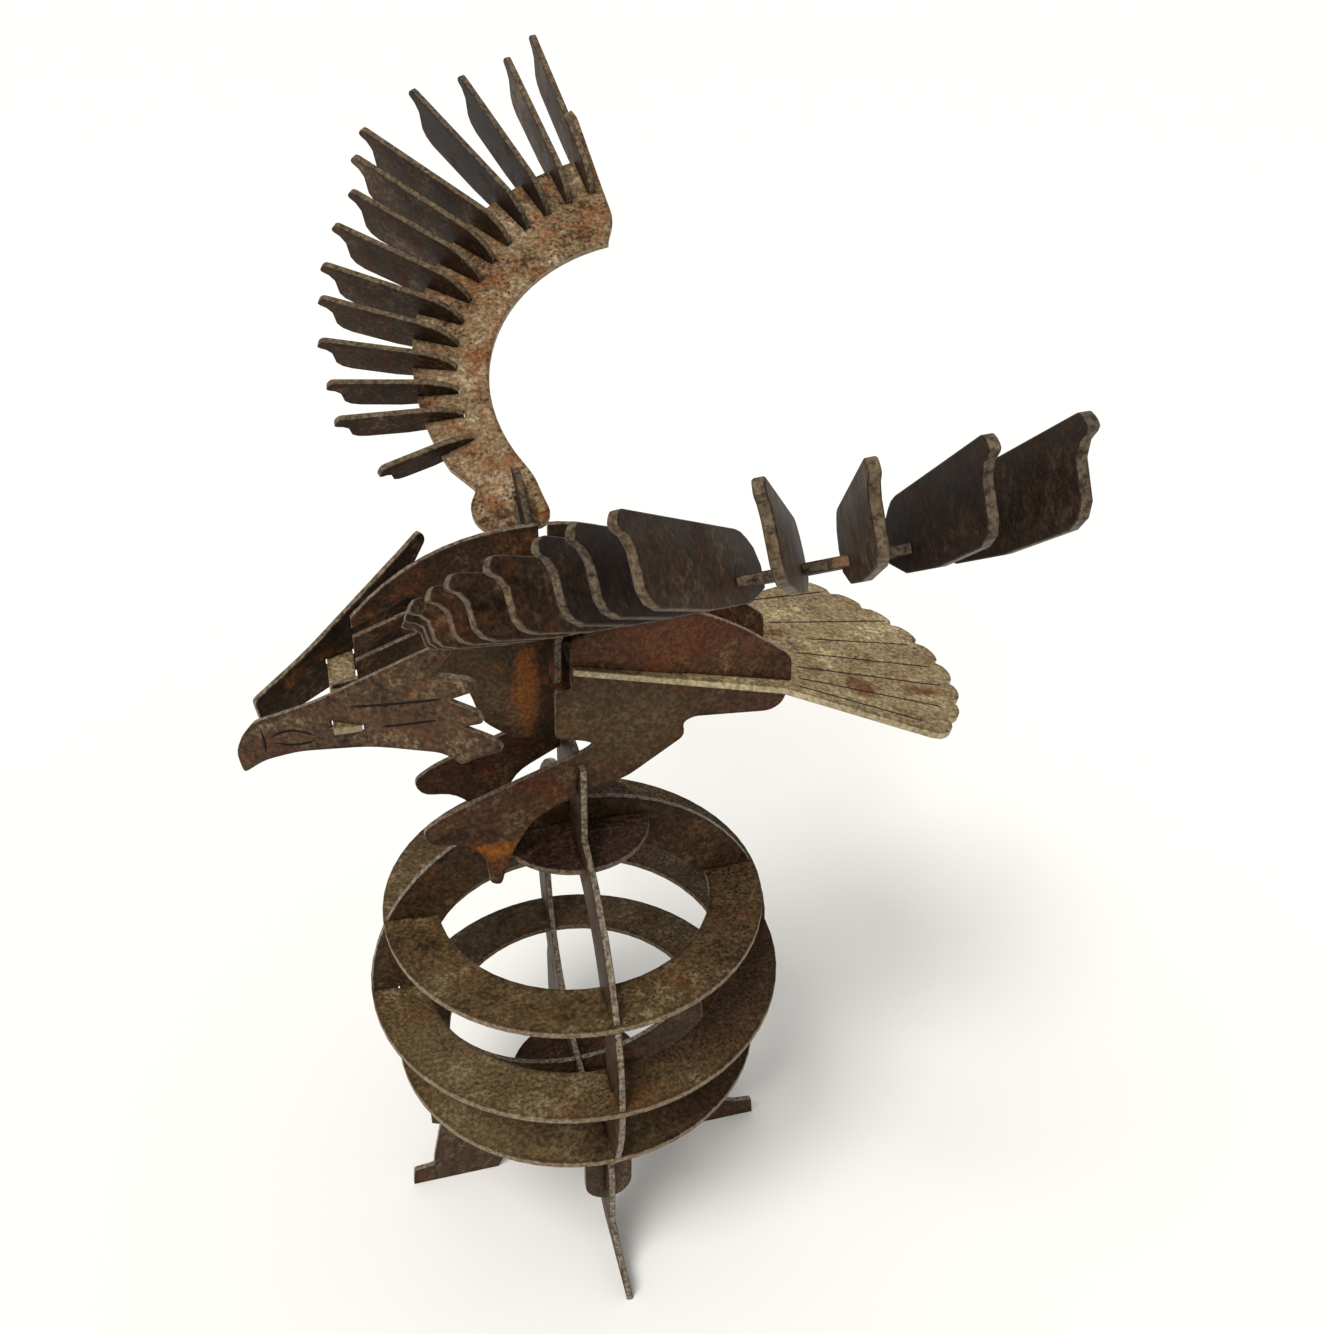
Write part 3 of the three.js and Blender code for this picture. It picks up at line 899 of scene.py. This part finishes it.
    def _mesh(self, loops: list[np.ndarray], sheet: Sheet) -> bpy.types.Mesh:
        """Joins the two faces with the softened cut edge.

        Args:
            loops: The true outlines.
            sheet: The show face's triangles.

        Returns:
            The closed mesh.
        """
        count = len(sheet.spots)
        seed = sum(map(ord, self.node)) * 0.37
        wave = np.array([noise.noise(Vector((u / self.wave, v / self.wave, seed)))
                         for u, v in sheet.spots])
        wave = self.uneven * wave * (1 - sheet.rim)
        top, floor = self._levels(sheet.spots)
        rows = [np.column_stack([sheet.spots, top + wave - sheet.depth]),
                np.column_stack([sheet.spots, floor + wave])]
        runs = []
        leads = sheet.leads(loops)
        for loop, lead in zip(loops, leads):
            rows.append(np.column_stack([loop, top[lead] - self.bevel]))
            rows.append(np.column_stack([loop, floor[lead] + self.bevel]))
            steps = np.hypot(*(np.roll(loop, -1, 0) - loop).T)
            run = np.concatenate([[0], np.cumsum(steps)[:-1]])
            runs += [run, run]
        flat = np.vstack(rows)
        world = np.array(self.origin) + flat @ np.array([self.u, self.v, self.normal]) * MM
        back = sheet.faces[:, ::-1] + count
        faces = sheet.faces.tolist() + back.tolist() + self._walls(leads, count)
        mesh = bpy.data.meshes.new(self.node)
        mesh.from_pydata(world.tolist(), [], faces)
        edge = len(flat) - 2 * count
        sunk = np.clip(sheet.depth / GROOVE_DARK, 0, 1)
        self._number(mesh, "rim", [sheet.rim, sheet.rim, np.ones(edge)])
        self._number(mesh, "cut", [np.zeros(2 * count), np.ones(edge)])
        self._number(mesh, "groove", [sunk, np.zeros(count + edge)])
        self._number(mesh, "run", [np.zeros(2 * count), *runs])
        mesh.shade_smooth()
        mesh.set_sharp_from_angle(angle=math.radians(self.sharp))
        return mesh

    @staticmethod
    def _walls(leads: list[list[int]], count: int) -> list[tuple[int, ...]]:
        """Faces of the cut edge, which is three strips wide.

        Args:
            leads: Each outline's points by their numbers on the show face.
            count: How many points the show face has; the back has as many.

        Returns:
            Four corner numbers for each face.
        """
        walls, base = [], 2 * count
        for lead in leads:
            n = len(lead)
            for i in range(n):
                j = (i + 1) % n
                a, b = lead[i], lead[j]
                walls += [(base + i, base + j, b, a), (base + n + i, base + n + j, base + j, base + i),
                          (a + count, b + count, base + n + j, base + n + i)]
            base += 2 * n
        return walls

    @staticmethod
    def _number(mesh: bpy.types.Mesh, name: str, parts: list[np.ndarray]) -> None:
        """Stores one number for each point of a mesh."""
        made = mesh.attributes.new(name, "FLOAT", "POINT")
        made.data.foreach_set("value", np.concatenate(parts).astype(np.float32))


# ---- sub-assemblies --------------------------------------------------------
class Hand(Enum):
    """Which of the bird's two sides a piece belongs to."""

    LEFT = "left"
    RIGHT = "right"

    @property
    def side(self) -> Side:
        """The side its outer face looks to."""
        return Side.LEFT if self is Hand.LEFT else Side.RIGHT


@dataclass
class Assembly:
    """A group of plates around the globe's axis, with the height of the globe's centre in millimetres."""

    axis: Vector
    globe_height: float = 147.0

    def spot(self, x: float, y: float, z: float) -> Vector:
        """A place given in millimetres from the globe's centre, in metres."""
        return self.axis + Vector((x, y, z + self.globe_height)) * MM

    def place(self, plates: Sequence[Plate]) -> list[bpy.types.Object]:
        """Builds several plates."""
        return [plate.build() for plate in plates]


ORANGE = srgb(150, 88, 26)
RUST_RED = srgb(92, 44, 18)

RING_STEEL = Steel(
    name="globe_ring_steel", dark=srgb(46, 31, 15), mid=srgb(90, 73, 47), light=srgb(134, 119, 90),
    rust=srgb(88, 52, 26), pits=0.45, pit_and_shade_side=0.9, seed=2.0, rusty=0.3,
    # darker brown over the globe's right: partly rust, partly painted shade on the side turned from the
    # light
    stains=(Stain((70, -40, 100), (75, 80, 110), srgb(66, 44, 28), 0.75),
            # painted light: paler tan where the key light falls on the rings' left front
            Stain((-70, -60, 130), (60, 50, 70), srgb(112, 98, 70), 0.35),
            Stain((10, -95, 147), (24, 10, 12), srgb(92, 58, 30), 0.35)))
# painted shade: a darker copy of the ring steel for the upright rings and leg tabs, whose faces take less
# light; their paler edges are partly painted highlight
SHADED_UPRIGHT_STEEL = Steel(
    name="globe_upright_shaded_steel", dark=srgb(36, 22, 11), mid=srgb(66, 49, 31), light=srgb(100, 84, 60),
    rust=srgb(84, 46, 20), edge=srgb(170, 162, 144), edge_rub_and_highlight=0.7, pits=0.4, seed=5.0)
DISC_STEEL = Steel(
    name="globe_disc_steel", dark=srgb(38, 22, 16), mid=srgb(70, 50, 40), light=srgb(108, 90, 78),
    rust=srgb(76, 42, 28), pits=1.0, seed=9.0, patch=20)
BODY_STEEL = Steel(
    name="body_side_steel", dark=srgb(36, 18, 7), mid=srgb(70, 47, 28), light=srgb(106, 86, 60),
    rust=srgb(98, 50, 22), pits=0.35, seed=13.0, rusty=0.35,
    stains=(Stain((40, -20, 345), (60, 40, 26), srgb(74, 40, 20), 0.8),
            Stain((10, -20, 302), (50, 40, 32), srgb(84, 72, 48), 0.5),
            Stain((-42, -20, 240), (22, 30, 6), ORANGE, 0.6)))
# painted shade: a darker copy of the body steel for the keel, which sits in shade between the side plates
SHADED_KEEL_STEEL = Steel(
    name="keel_shaded_steel", dark=srgb(26, 14, 6), mid=srgb(50, 34, 18), light=srgb(88, 70, 46),
    rust=srgb(104, 56, 22), pits=0.3, seed=17.0, rusty=0.35,
    stains=(Stain((-19, 0, 310), (7, 20, 30), ORANGE, 0.4),
            # painted light: paler olive on the middle of the chest, which stands out of that shade
            Stain((-48, 0, 318), (26, 20, 34), srgb(72, 62, 40), 0.5)))
# painted light: a much paler steel for the tail fan, whose top takes the full light; the red patches are
# rust
LIT_TAIL_STEEL = Steel(
    name="tail_steel", dark=srgb(88, 70, 42), mid=srgb(140, 123, 90), light=srgb(184, 170, 134),
    rust=srgb(96, 52, 22), edge=srgb(190, 178, 148), pits=0.5, seed=21.0, rusty=0.12, patch=26,
    stains=(Stain((128, -22, 305), (9, 12, 12), RUST_RED, 0.8),
            Stain((160, -22, 300), (16, 7, 12), RUST_RED, 0.85),
            Stain((110, -10, 312), (10, 6, 12), RUST_RED, 0.6)))
HEAD_STEEL = Steel(
    name="head_steel", dark=srgb(34, 19, 8), mid=srgb(72, 55, 36), light=srgb(118, 102, 78),
    rust=srgb(92, 50, 28), pits=0.45, seed=25.0, patch=18, rusty=0.3,
    stains=(Stain((-122, -12, 305), (12, 20, 12), srgb(70, 42, 28), 0.8),
            Stain((-75, -35, 325), (44, 40, 7), srgb(80, 54, 36), 0.7)))
BAR_STEEL = Steel(
    name="head_bar_steel", dark=srgb(88, 72, 46), mid=srgb(134, 119, 88), light=srgb(180, 166, 134),
    pits=0.2, seed=29.0, patch=12, rusty=0.15)
# painted light: a much paler steel for the far wing plate, whose inner face takes the light
LIT_WING_STEEL = Steel(
    name="wing_plate_steel", dark=srgb(66, 42, 20), mid=srgb(124, 104, 76), light=srgb(166, 154, 130),
    rust=srgb(118, 66, 26), edge=srgb(166, 152, 128), pits=0.6, seed=33.0, patch=20, rusty=0.55,
    contrast=1.15)
FEATHER_STEEL = Steel(
    name="feather_steel", dark=srgb(28, 16, 7), mid=srgb(60, 44, 28), light=srgb(106, 90, 66),
    rust=srgb(86, 46, 22), edge=srgb(132, 118, 94), edge_rub_and_highlight=0.6, pits=0.45, seed=37.0, patch=20)
# painted shade: a darker copy of the feather steel for feathers whose faces turn from the light
SHADED_FEATHER_STEEL = Steel(
    name="feather_dark_steel", dark=srgb(14, 7, 2), mid=srgb(34, 21, 11), light=srgb(66, 50, 33),
    rust=srgb(62, 32, 14), edge=srgb(128, 114, 92), edge_rub_and_highlight=0.6, pits=0.4, seed=45.0, patch=22,
    metal=0.1)
# painted shade: a darker copy of the head steel for the far head plate, whose face is turned from the light
SHADED_FAR_HEAD_STEEL = Steel(
    name="head_far_steel", dark=srgb(22, 12, 5), mid=srgb(46, 32, 19), light=srgb(80, 64, 44),
    pits=0.3, seed=49.0, patch=22)
# painted shade: the darkest steel, for the yoke and the near wing plate, which lie in shade
SHADED_YOKE_STEEL = Steel(
    name="yoke_shaded_steel", dark=srgb(20, 11, 5), mid=srgb(38, 26, 15), light=srgb(70, 54, 36), edge_rub_and_highlight=0.35,
    pits=0.3, seed=41.0, patch=20)


@dataclass
class Globe(Assembly):
    """Three level rings and two upright ones with legs, tied by a disc at each pole."""

    levels: tuple[str, ...] = ("upper", "equator", "lower")
    uprights: tuple[str, ...] = ("long", "cross")
    tabs: tuple[str, ...] = ("front", "left")

    def build(self) -> list[bpy.types.Object]:
        """Builds the rings, discs and leg tabs.

        Returns:
            The new objects.
        """
        level = RING_STEEL.build(self.axis)
        # the upright plates get the darker steel: painted shade
        upright = SHADED_UPRIGHT_STEEL.build(self.axis)
        disc = DISC_STEEL.build(self.axis)
        plates = [Plate(f"globe_ring_{n}", level, "globe_steel") for n in self.levels]
        plates += [Plate(f"globe_ring_{n}_with_legs", upright, "globe_steel", side)
                   for n, side in zip(self.uprights, (Side.LEFT, Side.FRONT))]
        plates += [Plate(f"globe_disc_{n}", disc, "globe_steel") for n in ("top", "bottom")]
        plates += [Plate(f"leg_tab_{n}", upright, "globe_steel") for n in self.tabs]
        return self.place(plates)


@dataclass
class Body(Assembly):
    """Keel between two side plates."""

    def build(self) -> list[bpy.types.Object]:
        """Builds the keel and the side plates.

        Returns:
            The new objects.
        """
        side = BODY_STEEL.build(self.axis)
        # the keel gets the darker steel: painted shade
        keel = SHADED_KEEL_STEEL.build(self.axis)
        plates = [Plate("keel_plate", keel, "body_steel", Side.LEFT)]
        plates += [Plate(f"body_side_{h.value}", side, "body_steel", h.side) for h in Hand]
        return self.place(plates)


@dataclass
class Tail(Assembly):
    """Fan of tail feathers, marked off by engraved lines.

    Height is above the globe's centre. Each line runs from one (u, v) to another, in millimetres from
    the globe's axis.
    """

    height: float = 182.0
    lines: tuple[tuple[float, float, float, float], ...] = (
        (100, 53, 156, 74), (103, 32, 174, 45), (118, 19, 177, 22), (106, 5, 179, 1),
        (102, -8, 176, -16), (100, -18, 167, -35), (96, -24, 150, -48))

    def build(self) -> list[bpy.types.Object]:
        """Builds the fan.

        Returns:
            The new objects.
        """
        strokes = tuple(Stroke(((a, b), ((a + c) / 2, (b + d) / 2), (c, d))) for a, b, c, d in self.lines)
        # the tail's pale steel: painted light on its top
        fan = Plate("tail_fan", LIT_TAIL_STEEL.build(self.axis), "tail_steel", strokes=strokes,
                    origin=self.spot(0, 0, self.height))
        return self.place([fan])


@dataclass
class Head(Assembly):
    """Two head plates that part behind the beak, and the bar that spreads them.

    The drawing is engraved on both cheeks. Its points are in millimetres, along the plate from the
    nose and up from the globe's centre.
    """

    nose: float = -129.7
    spread: float = 8.2
    fine_pace: float = 2.4
    drawing: tuple[tuple[tuple[float, float], ...], ...] = (
        ((6.0, 162.2), (11.0, 165.4), (18.0, 167.6), (27.4, 166.6)),
        ((7.4, 160.2), (13.0, 159.9), (20.0, 161.6), (26.4, 164.4)),
        ((2.6, 152.0), (3.4, 157.0), (3.0, 163.0), (1.8, 169.0)),
        ((54.0, 175.2), (66.0, 178.6), (78.9, 182.5)),
        ((42.0, 182.7), (62.0, 187.4), (81.7, 192.7)))

    def build(self) -> list[bpy.types.Object]:
        """Builds both plates and the bar.

        Returns:
            The new objects.
        """
        # the far cheek gets the darker steel: painted shade
        steels = {Hand.LEFT: HEAD_STEEL, Hand.RIGHT: SHADED_FAR_HEAD_STEEL}
        plates = [self._cheek(hand, steels[hand].build(self.axis)) for hand in Hand]
        plates.append(Plate("head_bar", BAR_STEEL.build(self.axis), "head_steel"))
        return self.place(plates)

    def _cheek(self, hand: Hand, steel: bpy.types.Material) -> Plate:
        """One head plate with the eye and the feather lines engraved on its outer face.

        Args:
            hand: The plate's side.
            steel: Its finish.

        Returns:
            The plate.
        """
        up = 1 if hand is Hand.LEFT else -1
        strokes = tuple(Stroke(tuple((s, up * z) for s, z in line)) for line in self.drawing)
        origin = self.spot(self.nose, -up * self.spread, 0)
        return Plate(f"head_{hand.value}", steel, "head_steel", hand.side, origin=origin,
                     strokes=strokes, pace=self.fine_pace)


@dataclass
class Wings(Assembly):
    """The yoke with both wings: a curved plate each, notched for fourteen upright feathers."""

    feathers: int = 14
    # feathers given the darker steel: painted shade on faces turned from the light
    dark: tuple[tuple[Hand, int], ...] = (
        (Hand.RIGHT, 3), (Hand.RIGHT, 4), (Hand.LEFT, 1), (Hand.LEFT, 2), (Hand.LEFT, 6),
        (Hand.LEFT, 7))

    def build(self) -> list[bpy.types.Object]:
        """Builds the yoke, the wing plates and the feathers.

        Returns:
            The new objects.
        """
        pale, deep = LIT_WING_STEEL.build(self.axis), SHADED_YOKE_STEEL.build(self.axis)
        brown, shaded_feather = FEATHER_STEEL.build(self.axis), SHADED_FEATHER_STEEL.build(self.axis)
        plates = [Plate("wing_yoke", deep, "wing_steel", Side.FRONT)]
        for hand in Hand:
            # far wing plate in the pale steel and near one in the dark yoke steel: painted light and
            # painted shade
            plate = pale if hand is Hand.RIGHT else deep
            plates.append(Plate(f"wing_plate_{hand.value}", plate, "wing_steel"))
            plates += [Plate(f"feather_{hand.value}_{k:02d}",
                             shaded_feather if (hand, k) in self.dark else brown, "feather_steel", Side.FRONT)
                       for k in range(1, self.feathers + 1)]
        return self.place(plates)


# ---- studio ----------------------------------------------------------------
@dataclass
class Studio:
    """Pale floor, soft light and the camera, with lengths in metres and angles in degrees."""

    target: Vector
    stand: tuple[float, float, float] = (-0.0892, -0.4589, 0.4634)
    yaw: float = -4.47
    pitch: float = 12.5
    roll: float = 2.28
    field_of_view: float = 54.94
    farthest: float = 200.0
    floor_size: float = 80.0
    paper: Rgb = (0.88, 0.88, 0.87)
    sky: Rgb = (1.0, 0.98, 0.95)
    sky_strength: float = 0.6
    key: Rgb = (1.0, 0.97, 0.92)
    key_angle: tuple[float, float] = (34.0, -140.0)
    key_width: float = 28.0
    key_strength: float = 2.4

    def build(self) -> None:
        """Makes the floor, the light and the camera."""
        self._floor()
        self._light()
        self._camera()

    def _floor(self) -> None:
        """A plain pale floor that reaches past the horizon of the view."""
        half = self.floor_size / 2
        mesh = bpy.data.meshes.new("studio_floor")
        mesh.from_pydata([(-half, -half, 0), (half, -half, 0), (half, half, 0), (-half, half, 0)],
                         [], [(0, 1, 2, 3)])
        floor = bpy.data.objects.new("studio_floor", mesh)
        bpy.context.scene.collection.objects.link(floor)
        g = Graph("studio_paper")
        shader = g.add("ShaderNodeBsdfPrincipled", {}, {
            "Base Color": self.paper, "Roughness": 0.9, "Specular IOR Level": 0.1})
        g.node("ShaderNodeOutputMaterial", {}, {"Surface": shader})
        mesh.materials.append(g.material)

    def _light(self) -> None:
        """An even pale sky and one broad key light."""
        world = bpy.data.worlds.new("studio_sky")
        world.use_nodes = True
        sky = world.node_tree.nodes["Background"]
        sky.inputs["Color"].default_value = (*self.sky, 1)
        sky.inputs["Strength"].default_value = self.sky_strength
        bpy.context.scene.world = world
        tilt, turn = self.key_angle
        lamp = bpy.data.lights.new("studio_key", "SUN")
        lamp.energy = self.key_strength
        lamp.angle = math.radians(self.key_width)
        lamp.color = self.key
        key = bpy.data.objects.new("studio_key", lamp)
        key.rotation_euler = (math.radians(tilt), 0, math.radians(turn + 90))
        bpy.context.scene.collection.objects.link(key)
        bpy.context.scene.view_settings.view_transform = "Standard"

    def _camera(self) -> None:
        """Camera that looks down on the globe from the bird's left and front."""
        ahead = -Vector(self.stand).normalized()
        right = ahead.cross(Vector((0, 0, 1))).normalized()
        up = right.cross(ahead)
        turn = Matrix.Rotation(math.radians(self.yaw), 3, up)
        ahead, right = turn @ ahead, turn @ right
        nod = Matrix.Rotation(math.radians(self.pitch), 3, right)
        ahead, up = nod @ ahead, nod @ up
        lean = Matrix.Rotation(math.radians(self.roll), 3, ahead)
        right, up = lean @ right, lean @ up
        data = bpy.data.cameras.new("studio_camera")
        data.angle = math.radians(self.field_of_view)
        data.clip_end = self.farthest
        camera = bpy.data.objects.new("studio_camera", data)
        turned = Matrix((right, up, -ahead)).transposed().to_4x4()
        camera.matrix_world = Matrix.Translation(self.target + Vector(self.stand)) @ turned
        bpy.context.scene.collection.objects.link(camera)
        bpy.context.scene.camera = camera


def main() -> None:
    """Builds every sub-assembly and the studio, and logs each sub-assembly's number of pieces."""
    logging.basicConfig(level=logging.INFO, format="%(message)s")
    low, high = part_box("globe_ring_equator")
    centre = (low + high) / 2
    axis = Vector((centre.x, centre.y, 0))
    for kind in (Globe, Body, Tail, Head, Wings):
        pieces = kind(axis).build()
        LOG.info("%s: %d pieces", kind.__name__, len(pieces))
    Studio(centre).build()


if __name__ == "__main__":
    main()
